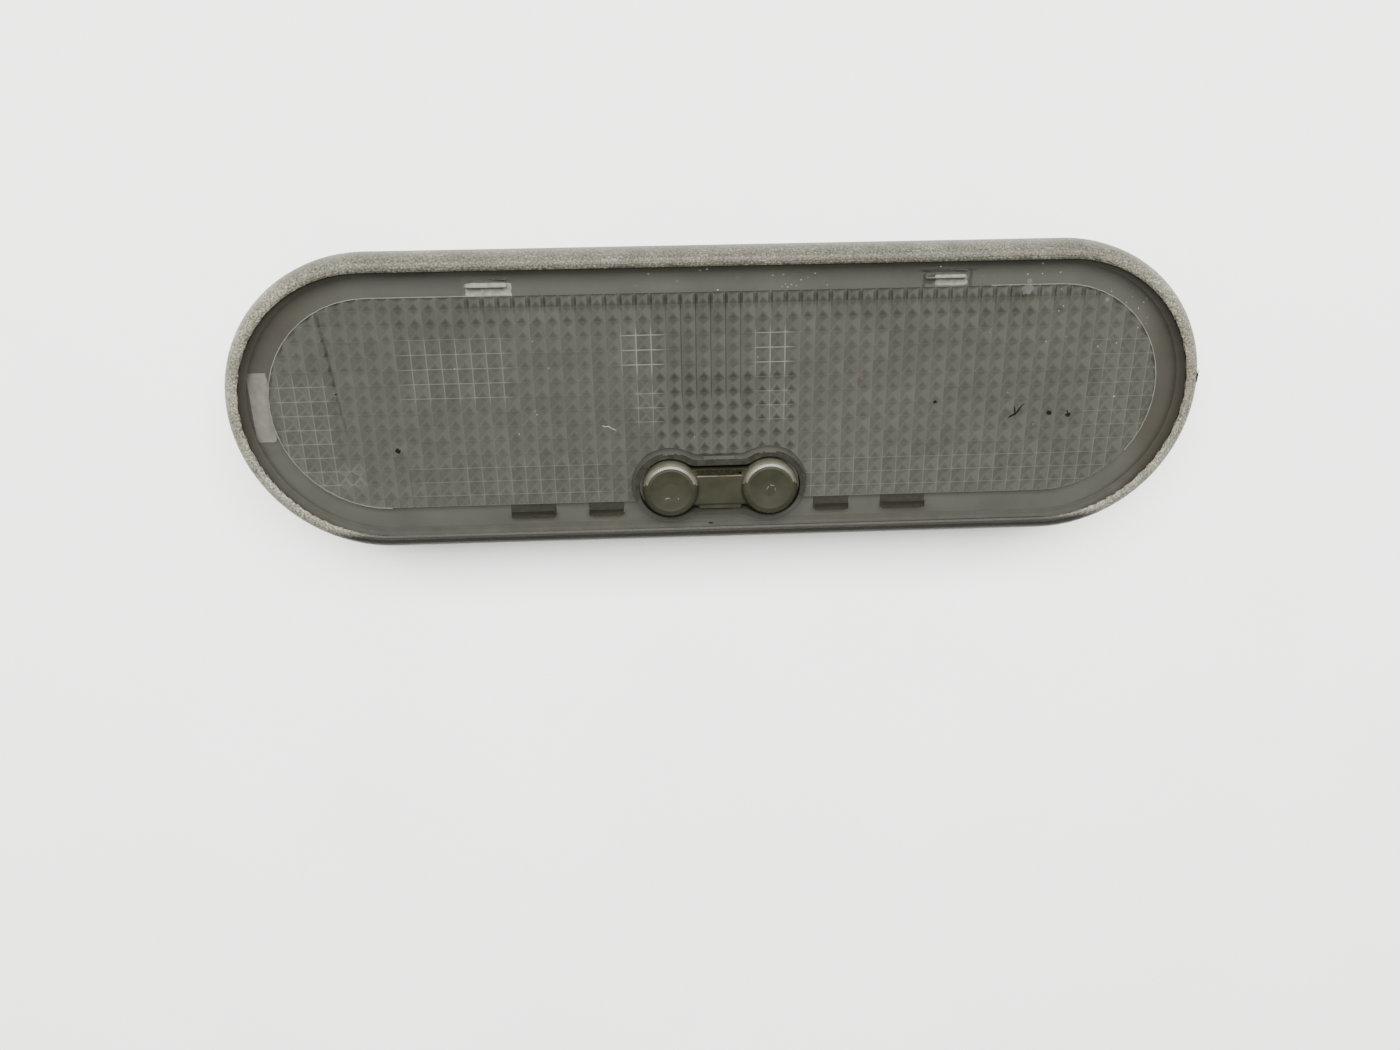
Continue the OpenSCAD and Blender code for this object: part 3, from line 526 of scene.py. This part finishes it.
# Specks and stains on the lens
# Years in a car have left specks of soot, a tuft of short black bristles and a few rusty
# splashes on the face. They are dried on, a few hundredths of a millimetre thick.
def ragged(middle_x, middle_y, half_x, half_y, turn=0.0, square=2.0, rough=0.18, seed=1, count=18):
    """Outline of an uneven spot in millimetres; a higher square gives squarer corners."""
    chance = random.Random(seed)
    points = []
    for i in range(count):
        angle = 2 * math.pi * i / count
        c, s = math.cos(angle), math.sin(angle)
        even = (abs(c) ** square + abs(s) ** square) ** (-1 / square)
        size = even * (1 + rough * (chance.random() - 0.5) * 2)
        px, py = half_x * c * size, half_y * s * size
        points.append((middle_x + px * math.cos(turn) - py * math.sin(turn),
                       middle_y + px * math.sin(turn) + py * math.cos(turn)))
    return points


def add_piece(name, mesh, material, body):
    """Puts a mesh into the scene as a piece with one material, on a body."""
    piece = bpy.data.objects.new(name, mesh)
    bpy.context.scene.collection.objects.link(piece)
    mesh.materials.clear()
    mesh.materials.append(material)
    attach(piece, body)


def add_shape(name, shape, material, body):
    """Turns a bmesh into a piece."""
    mesh = bpy.data.meshes.new(name)
    shape.to_mesh(mesh)
    shape.free()
    add_piece(name, mesh, material, body)


def mounds(name, outlines, z, height, material, body, edge=0.72):
    """Low closed mounds on the level z, one for each outline, as one piece on a body."""
    profile = ((1.0, 0.0), (0.94, 0.6), (edge, 1.0))
    shape = bmesh.new()
    for outline in outlines:
        cx = sum(p[0] for p in outline) / len(outline)
        cy = sum(p[1] for p in outline) / len(outline)
        rings = []
        for share, level in profile:
            rings.append([shape.verts.new(((cx + (px - cx) * share) * MM, (cy + (py - cy) * share) * MM,
                                           (z + height * level) * MM)) for px, py in outline])
        shape.faces.new(list(reversed(rings[0])))
        shape.faces.new(rings[-1])
        for low, high in zip(rings, rings[1:]):
            for i in range(len(low)):
                j = (i + 1) % len(low)
                shape.faces.new((low[i], low[j], high[j], high[i]))
    bmesh.ops.triangulate(shape, faces=[f for f in shape.faces if len(f.verts) > 4])
    add_shape(name, shape, material, body)


FACE_MM = FACE_Z / MM

# Sooty dirt, also used for painted shadow in the cut-out and on the rocker's post: black and matt, with no
# shine at its edges
soot_and_shadow = weathered("black_soot_and_painted_shadow", "050504", "0B0A08", 0.3, 0.1, 0.02, (0.7, 0.9),
                 Specular_IOR_Level=0.1)
black_spots = [ragged(-60.3, -7.9, 0.48, 0.48, seed=2), ragged(40.6, -1.0, 0.36, 0.32, seed=3),
               ragged(62.6, -3.7, 0.52, 0.44, seed=4), ragged(66.3, -4.2, 0.5, 0.42, seed=5),
               ragged(66.1, -3.5, 0.13, 0.26, 0.4, seed=6),
               ragged(56.7, -3.0, 1.35, 0.17, 1.0, 2.0, 0.12, seed=7),
               ragged(55.6, -4.0, 0.95, 0.19, 0.55, 2.0, 0.12, seed=8),
               ragged(56.0, -3.2, 1.0, 0.15, 1.75, 2.0, 0.12, seed=9),
               ragged(57.6, -1.9, 0.2, 0.09, 1.1, seed=10),
               ragged(-70.2, 3.2, 0.22, 0.16, seed=11), ragged(-1.8, -24.2, 0.42, 0.2, seed=12)]
mounds("lens_black_specks", black_spots, FACE_MM, 0.03, soot_and_shadow, "lamp")

# Dried rusty water: thin enough to see the lens through
stain = weathered("rusty_stain", "32261F", "3D302A", 0.4, 0.2, 0.01, (0.4, 0.6), Alpha=0.5)
splashes = [ragged(26.4, 3.9, 0.5, 0.7, 0.4, seed=13), ragged(-66.6, 12.6, 0.6, 0.3, 0.2, seed=14)]
mounds("lens_rusty_stain", splashes, FACE_MM, 0.02, stain, "lamp")

# Nick in the rim
# The right-hand end of the rim has been knocked, and its soft edge is gouged.
# Soot has filled the gouge, so it shows as a black notch in the outline.
NICK_PLACE = (90.41, 2.6, 4.62)
NICK_HALF_LENGTH = 1.3
NICK_HALF_WIDTH = 0.55
NICK_HALF_DEPTH = 0.12
# Direction of the rim's surface there: outwards and up
NICK_OUT_X = 0.84
NICK_OUT_Z = 0.55

gouge = bmesh.new()
bmesh.ops.create_icosphere(gouge, subdivisions=3, radius=1.0)
for spot in gouge.verts:
    uneven = 1 + 0.25 * math.sin(9 * spot.co.y + 2) * math.cos(7 * spot.co.z)
    up = NICK_HALF_WIDTH * uneven * spot.co.z
    out = NICK_HALF_DEPTH * spot.co.x
    spot.co = Vector((NICK_PLACE[0] - NICK_OUT_Z * up + NICK_OUT_X * out,
                      NICK_PLACE[1] + NICK_HALF_LENGTH * spot.co.y,
                      NICK_PLACE[2] + NICK_OUT_X * up + NICK_OUT_Z * out)) * MM
add_shape("rim_black_nick", gouge, soot_and_shadow, "lamp")


# Loose dust and smudges
# Grains of pale dust and flakes of headliner have settled on the face, most of them on the
# ring beyond the prisms, and fingers and a cloth have left dull smudges.
def scatter_tree():
    """Node tree that strews small flattened grains over a surface."""
    tree = bpy.data.node_groups.new("strewn_grains", "GeometryNodeTree")
    tree.interface.new_socket("Geometry", in_out="INPUT", socket_type="NodeSocketGeometry")
    for name, kind in (("Grains per square metre", "NodeSocketFloat"), ("Largest radius", "NodeSocketFloat"),
                       ("Flatness", "NodeSocketFloat"), ("Seed", "NodeSocketInt"),
                       ("Material", "NodeSocketMaterial")):
        tree.interface.new_socket(name, in_out="INPUT", socket_type=kind)
    tree.interface.new_socket("Geometry", in_out="OUTPUT", socket_type="NodeSocketGeometry")
    given = add_node(tree, "NodeGroupInput").outputs
    points = add_node(tree, "GeometryNodeDistributePointsOnFaces",
                      {"Mesh": given["Geometry"], "Density": given["Grains per square metre"],
                       "Seed": given["Seed"]})
    grain = add_node(tree, "GeometryNodeMeshIcoSphere",
                     {"Radius": given["Largest radius"], "Subdivisions": 1})
    turn = add_node(tree, "FunctionNodeRandomValue", {"Max": (0.0, 0.0, 6.28), "Seed": given["Seed"]},
                    data_type="FLOAT_VECTOR")
    size = add_node(tree, "FunctionNodeRandomValue", {"Min": (0.3, 0.25, 0.5), "Max": (1.0, 0.8, 1.0),
                                                      "Seed": given["Seed"]}, data_type="FLOAT_VECTOR")
    flat = add_node(tree, "ShaderNodeCombineXYZ", {"X": 1.0, "Y": 1.0, "Z": given["Flatness"]})
    scale = add_node(tree, "ShaderNodeVectorMath", {0: size, 1: flat}, operation="MULTIPLY")
    placed = add_node(tree, "GeometryNodeInstanceOnPoints",
                      {"Points": points, "Instance": grain, "Rotation": turn, "Scale": scale})
    real = add_node(tree, "GeometryNodeRealizeInstances", {"Geometry": placed})
    finished = add_node(tree, "GeometryNodeSetMaterial", {"Geometry": real, "Material": given["Material"]})
    add_node(tree, "NodeGroupOutput", {"Geometry": finished})
    return tree


def strew(name, corners, per_mm2, radius_mm, flatness, seed, material, body):
    """Grains strewn over a patch given by its corners in millimetres, baked to a plain mesh."""
    mesh = bpy.data.meshes.new(name + "_patch")
    mesh.from_pydata([tuple(v * MM for v in corner) for corner in corners], [], [tuple(range(len(corners)))])
    piece = bpy.data.objects.new(name, mesh)
    bpy.context.scene.collection.objects.link(piece)
    grown = piece.modifiers.new("grains", "NODES")
    grown.node_group = strewn
    values = {"Grains per square metre": per_mm2 / (MM * MM), "Largest radius": radius_mm * MM,
              "Flatness": flatness, "Seed": seed, "Material": material}
    for socket in strewn.interface.items_tree:
        if socket.in_out == "INPUT" and socket.name in values:
            grown[socket.identifier] = values[socket.name]
    graph = bpy.context.evaluated_depsgraph_get()
    piece.data = bpy.data.meshes.new_from_object(piece.evaluated_get(graph), depsgraph=graph)
    piece.modifiers.clear()
    piece.data.materials.clear()
    piece.data.materials.append(material)
    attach(piece, body)


strewn = scatter_tree()

# Lint and dust: pale grey and matt
pale = weathered("pale_lint", "72726A", "94948A", 0.4, 0.1, 0.02, (0.6, 0.8))
strew("lens_dust_far_side", [(-20, 20.6, 5.0), (62, 20.6, 5.0), (62, 24.4, 5.0), (-20, 24.4, 5.0)],
      0.09, 0.14, 0.25, 3, pale, "lamp")
strew("lens_dust_right_end", [(60, 8, 5.0), (80, 8, 5.0), (80, 17, 5.0), (60, 23, 5.0)],
      0.08, 0.13, 0.25, 4, pale, "lamp")
strew("lens_dust_field", [(-78, -12, 5.0), (78, -8, 5.0), (78, 12, 5.0), (-78, 16, 5.0)],
      0.004, 0.14, 0.25, 5, pale, "lamp")

# Dried smudges: a dull veil that the lens shows through
smudge = weathered("pale_smudge", "4A4C48", "565852", 0.6, 0.2, 0.01, (0.5, 0.7), Alpha=0.35)
smudges = [ragged(56.1, 19.5, 1.1, 0.8, 0.3, seed=20), ragged(71.0, 17.4, 0.4, 0.4, seed=21),
           ragged(56.3, 21.0, 0.5, 0.5, seed=22)]
mounds("lens_pale_smudges", smudges, FACE_MM, 0.02, smudge, "lamp")


# Fibre
# One hair of headliner cloth has come to rest on the face, left of the bulb.
# It is spun polyester, thin and slightly bent.
def fibre(name, points, radius_mm, material, body):
    """A thin hair laid through points in millimetres, as a closed tube."""
    data = bpy.data.curves.new(name + "_path", "CURVE")
    data.dimensions = "3D"
    data.bevel_depth = radius_mm * MM
    data.bevel_resolution = 1
    data.use_fill_caps = True
    line = data.splines.new("NURBS")
    line.points.add(len(points) - 1)
    for spot, (px, py, pz) in zip(line.points, points):
        spot.co = (px * MM, py * MM, pz * MM, 1.0)
    line.use_endpoint_u = True
    line.order_u = 3
    path = bpy.data.objects.new(name + "_path", data)
    bpy.context.scene.collection.objects.link(path)
    graph = bpy.context.evaluated_depsgraph_get()
    mesh = bpy.data.meshes.new_from_object(path.evaluated_get(graph), depsgraph=graph)
    bpy.data.objects.remove(path)
    add_piece(name, mesh, material, body)


fibre("lens_fibre", [(-21.9, -4.0, 5.06), (-21.4, -4.25, 5.07), (-20.8, -4.1, 5.06), (-20.2, -4.6, 5.07),
                     (-19.4, -4.95, 5.06)], 0.05, pale, "lamp")

# Dust and painted light and shade in the windows and the end slot
# Dust has packed itself round the snap legs: dark brown in the four windows on the near side, partly as
# painted shade, and grey in the two far ones, which with the slot over the spring also hold pale patches of
# painted light.
NEAR_WINDOWS = [(-36.3, 8.8), (-22.1, 7.0), (22.1, 7.0), (36.3, 8.8)]
FAR_WINDOWS = [-41.8, 41.8]

# Packed brown dust: dark, matt and crumbly; in the near windows its darkness is also painted shade
brown = weathered("packed_brown_dust_and_shade", "1A1711", "2F2A20", 0.6, 0.15, 0.05, (0.75, 0.9),
                  Specular_IOR_Level=0.05)
mounds("window_dust_and_shade", [ragged(mx, -20.75, w / 2 + 0.3, 1.05, 0.0, 12.0, 0.02, seed=30 + i, count=36)
                       for i, (mx, w) in enumerate(NEAR_WINDOWS)], 1.2, 0.42, brown, "lamp", edge=0.9)

# Packed grey dust: felted, and lighter than the brown
grey = weathered("packed_grey_dust", "454540", "54534C", 0.9, 0.2, 0.06, (0.75, 0.9))
mounds("far_window_dust", [ragged(mx, 21.6, 4.5, 1.95, 0.0, 14.0, 0.01, seed=35 + i, count=36)
                           for i, mx in enumerate(FAR_WINDOWS)], 1.2, 0.44, grey, "lamp", edge=0.95)

# Painted light: pale felted patches in the far windows, and somewhat darker in the slot
far_window_light = weathered("pale_painted_light", "7F7D72", "A9A79B", 0.9, 0.2, 0.06, (0.75, 0.9))
mounds("window_painted_light", [ragged(-41.4, 20.9, 4.1, 1.3, 0.0, 12.0, 0.03, seed=36, count=44),
                       ragged(42.9, 21.0, 2.9, 1.0, 0.0, 10.0, 0.05, seed=37, count=44)],
       1.64, 0.06, far_window_light, "lamp", edge=0.93)
slot_painted_light = weathered("packed_slot_painted_light", "67645B", "7C796E", 1.2, 0.2, 0.06, (0.75, 0.9))
mounds("slot_painted_light", [ragged(-85.25, 0.0, 1.98, 6.98, 0.0, 14.0, 0.01, seed=38, count=44)],
       1.2, 0.42, slot_painted_light, "lamp", edge=0.95)

# Film of brown dirt: a thin dark outline where water has dried round the right-hand window
film = weathered("brown_dirt_film", "262117", "352F24", 0.8, 0.2, 0.03, (0.7, 0.9))
outline = [ragged(42.2, 22.75, 4.7, 0.3, 0.0, 8.0, 0.3, seed=40, count=36),
           ragged(42.2, 16.95, 4.6, 0.28, 0.0, 8.0, 0.4, seed=41, count=36),
           ragged(37.9, 19.9, 0.3, 3.0, 0.0, 8.0, 0.3, seed=42, count=36),
           ragged(46.5, 19.9, 0.3, 3.0, 0.0, 8.0, 0.3, seed=43, count=36),
           ragged(39.0, 21.3, 0.9, 1.0, 0.0, 3.0, 0.3, seed=44), ragged(39.8, 17.6, 0.5, 0.5, seed=45)]
mounds("window_dirt_outline", outline, 1.6, 0.1, film, "lamp", edge=0.8)


# Painted shadow in the cut-out
# A black band of painted shadow lines the far wall of the hole round the rocker, like a gasket.
# It thins towards both ends, where the pads swing closest to it.
PAD_X = 9.5
WAIST_STEPS = 12


def bone(radius, waist, neck, count=40):
    """Dog-bone outline round the rocker in millimetres, as in the lens cut-out."""
    foot = PAD_X - math.sqrt((radius + neck) ** 2 - (waist + neck) ** 2)
    turn = math.atan2(waist + neck, foot - PAD_X)
    quarter = [(PAD_X + radius * math.cos(turn * i / count), radius * math.sin(turn * i / count))
               for i in range(count + 1)]
    for i in range(1, WAIST_STEPS + 1):
        angle = turn - math.pi + (math.pi / 2 - turn) * i / WAIST_STEPS
        quarter.append((foot + neck * math.cos(angle), waist + neck + neck * math.sin(angle)))
    # the middle point isn't repeated where the two halves meet in it
    mirrored = quarter[:-1] if quarter[-1][0] < 1e-6 else quarter
    half = quarter + [(-px, py) for px, py in reversed(mirrored)]
    return half + [(px, -py) for px, py in reversed(half[1:-1])]


def ribbon(name, outer, inner, low, high, shift_y, material, body, closed=True):
    """A band between two outlines in millimetres, from one level to another, shut at its ends."""
    shape = bmesh.new()
    count = len(outer)
    loops = []
    for points, level in ((outer, low), (inner, low), (inner, high), (outer, high)):
        loops.append([shape.verts.new((px * MM, (py + shift_y) * MM, level * MM)) for px, py in points])
    for a, b in zip(loops, loops[1:] + loops[:1]):
        for i in range(count if closed else count - 1):
            j = (i + 1) % count
            shape.faces.new((a[i], a[j], b[j], b[i]))
    if not closed:
        for end in (0, count - 1):
            shape.faces.new([loop[end] for loop in loops])
    bmesh.ops.recalc_face_normals(shape, faces=shape.faces)
    add_shape(name, shape, material, body)


far_wall = bone(5.99, 4.49, 3.01)
far_half = len(far_wall) // 2 + 1
inner_wall = [(px * 1.0125, py) for px, py in bone(5.72, 4.22, 3.28)]
ribbon("cutout_painted_shadow", far_wall[:far_half], inner_wall[:far_half], 3.1, 4.9, ROCKER_Y / MM, soot_and_shadow, "lamp",
       closed=False)


# Dust under the plate
# Fine dust has crept between the plate and the tray all round, inside the skirt.
# It lies in a thin even film, darkened to brown at the ends by painted shade, as the tray is.
def stadium(radius, count=24):
    """Outline of the lens at a distance from its middle line, in millimetres."""
    ends = []
    for side in (1, -1):
        for i in range(count + 1):
            a = math.pi * (i / count - 0.5)
            ends.append((side * (STRAIGHT / MM + radius * math.cos(a)), side * radius * math.sin(a)))
    return ends


# Fine grey dust: dull and even
fine_dust = weathered("fine_grey_dust", "403F3A", "4B4943", 3.0, 0.25, 0.04, (0.8, 0.95),
                      Specular_IOR_Level=0.1)
ribbon("skirt_dust", stadium(26.35), stadium(24.1), 2.86, 2.98, 0.0, painted_shade_at_ends(fine_dust), "lamp")

# Foot of the prism field
# The block of prisms stands on the plate with a small rounded step.
# A fine pale line of painted highlight marks it round both ends.
STEP_LOW = 2.9
STEP_HIGH = 2.97
RIGHT_STEP_END = 50.0
LEFT_STEP_END = -38.0
line_out = stadium(FIELD_RADIUS / MM + 0.17)
line_in = stadium(FIELD_RADIUS / MM + 0.01)

# Rounded polycarbonate edge: pale as a painted highlight, and softly shining
bright_line = weathered("bright_polycarbonate_edge", "6E6D62", "868577", 2.0, 0.3, 0.01, (0.4, 0.6))
right_lines = [line[7:25] + [(RIGHT_STEP_END, line[24][1])] for line in (line_out, line_in)]
ribbon("field_step_right", *right_lines, STEP_LOW, STEP_HIGH, 0.0, bright_line, "lamp", closed=False)
left_lines = [[(LEFT_STEP_END, line[25][1])] + line[25:] for line in (line_out, line_in)]
ribbon("field_step_left", *left_lines, STEP_LOW, STEP_HIGH, 0.0, bright_line, "lamp", closed=False)

# Dust, painted shadow and a painted highlight on the rocker's bar
# A black painted shadow lies on the post that carries the bar, dust darkened as painted shadow banks up
# along the bar's far edge with brown grains on both, and a pale painted highlight marks that edge. The bar's
# near edge has a low moulded ledge.
# Painted shadow: a black mound on the post behind the bar
mounds("post_painted_shadow", [ragged(0.0, -12.7, 5.6, 0.5, 0.0, 5.0, 0.1, seed=50, count=40)], 2.5, 0.9, soot_and_shadow, "lamp")

# Banked dust darkened as painted shadow: nearly black and matt
shaded = weathered("dark_dust_and_painted_shadow", "110F0A", "1F1C14", 0.5, 0.12, 0.05, (0.8, 0.95),
                   Specular_IOR_Level=0.02)
mounds("bar_dust_bank_and_shadow", [ragged(0.0, -13.78, 4.7, 0.55, 0.0, 5.0, 0.12, seed=51, count=44)], 5.3, 0.3, shaded,
       "rocker", edge=0.8)
strew("bar_dust", [(-4.4, -14.2, 5.6), (4.4, -14.2, 5.6), (4.4, -13.35, 5.6), (-4.4, -13.35, 5.6)],
      7.0, 0.12, 0.6, 6, brown, "rocker")
# Painted highlight: a pale strip along the bar's far edge
mounds("bar_edge_painted_highlight", [ragged(0.0, -14.42, 4.5, 0.11, 0.0, 6.0, 0.06, seed=52, count=40)], 5.48, 0.12,
       PAINTED_HIGHLIGHT_ABS, "rocker", edge=0.7)
mounds("bar_near_ledge", [ragged(0.0, -20.7, 4.3, 0.36, 0.0, 12.0, 0.0, seed=53, count=40)], 4.9, 0.5,
       OLIVE_ABS, "rocker", edge=0.92)
strew("post_grit", [(-6.0, -13.1, 3.3), (6.0, -13.1, 3.3), (6.0, -12.4, 3.4), (-6.0, -12.4, 3.4)],
      7.0, 0.2, 0.7, 7, brown, "lamp")

# Scuffs on the pads
# The tops of both pads carry short faint marks, too worn to read, and drawn as plain scuffs.
# They are a little proud, as scraped ABS is, and paler than the skin of the moulding.
PAD_TOP = 6.72
scuffs = [ragged(-10.1, -18.3, 0.55, 0.16, 0.2, seed=60), ragged(-8.0, -18.5, 0.18, 0.3, 0.3, seed=61),
          ragged(-7.4, -17.9, 0.12, 0.12, seed=62), ragged(9.0, -16.7, 0.5, 0.13, 1.0, seed=63),
          ragged(9.9, -16.2, 0.45, 0.12, -0.2, seed=64), ragged(10.5, -17.0, 0.12, 0.4, 0.2, seed=65)]

# Scraped ABS: greyer than the moulded skin, with a faint shine
scraped = weathered("scraped_olive_abs", "302F28", "3B3B32", 0.4, 0.2, 0.01, (0.4, 0.5))
mounds("pad_scuffs", scuffs, PAD_TOP, 0.07, scraped, "rocker", edge=0.6)

# Table and light
# A pale paper-covered table, one broad soft light low over the far side of the lamp, as in
# the photograph, and a dim even surround.
TABLE_HALF = 9.0
LIGHT_PLACE = Vector((0.0, 0.9, 1.36))
LIGHT_SIZE = (2.2, 0.9)
LIGHT_WATTS = 153.0
SURROUND_STRENGTH = 0.4

corners = [(x * TABLE_HALF, y * TABLE_HALF, cad_low.z) for x, y in ((-1, -1), (1, -1), (1, 1), (-1, 1))]
table_mesh = bpy.data.meshes.new("table_top")
table_mesh.from_pydata(corners, [], [(0, 1, 2, 3)])
table = bpy.data.objects.new("table_top", table_mesh)
bpy.context.scene.collection.objects.link(table)
# Uncoated paper: white and matt, with a faint mottle
table_mesh.materials.append(weathered("matt_white_paper", "F6F6F4", "F9F9F7", 40.0, 0.6, 0.02, (0.85, 0.95)))

panel = bpy.data.lights.new("soft_far_light", "AREA")
panel.shape = "RECTANGLE"
panel.size, panel.size_y = LIGHT_SIZE
panel.energy = LIGHT_WATTS
light = bpy.data.objects.new("soft_far_light", panel)
bpy.context.scene.collection.objects.link(light)
light.location = LIGHT_PLACE
light.rotation_euler = (-LIGHT_PLACE).to_track_quat("-Z", "Y").to_euler()

surround = bpy.data.worlds.new("dim_surround")
surround.use_nodes = True
background = surround.node_tree.nodes["Background"]
background.inputs["Color"].default_value = linear("F4F4F2")
background.inputs["Strength"].default_value = SURROUND_STRENGTH
bpy.context.scene.world = surround
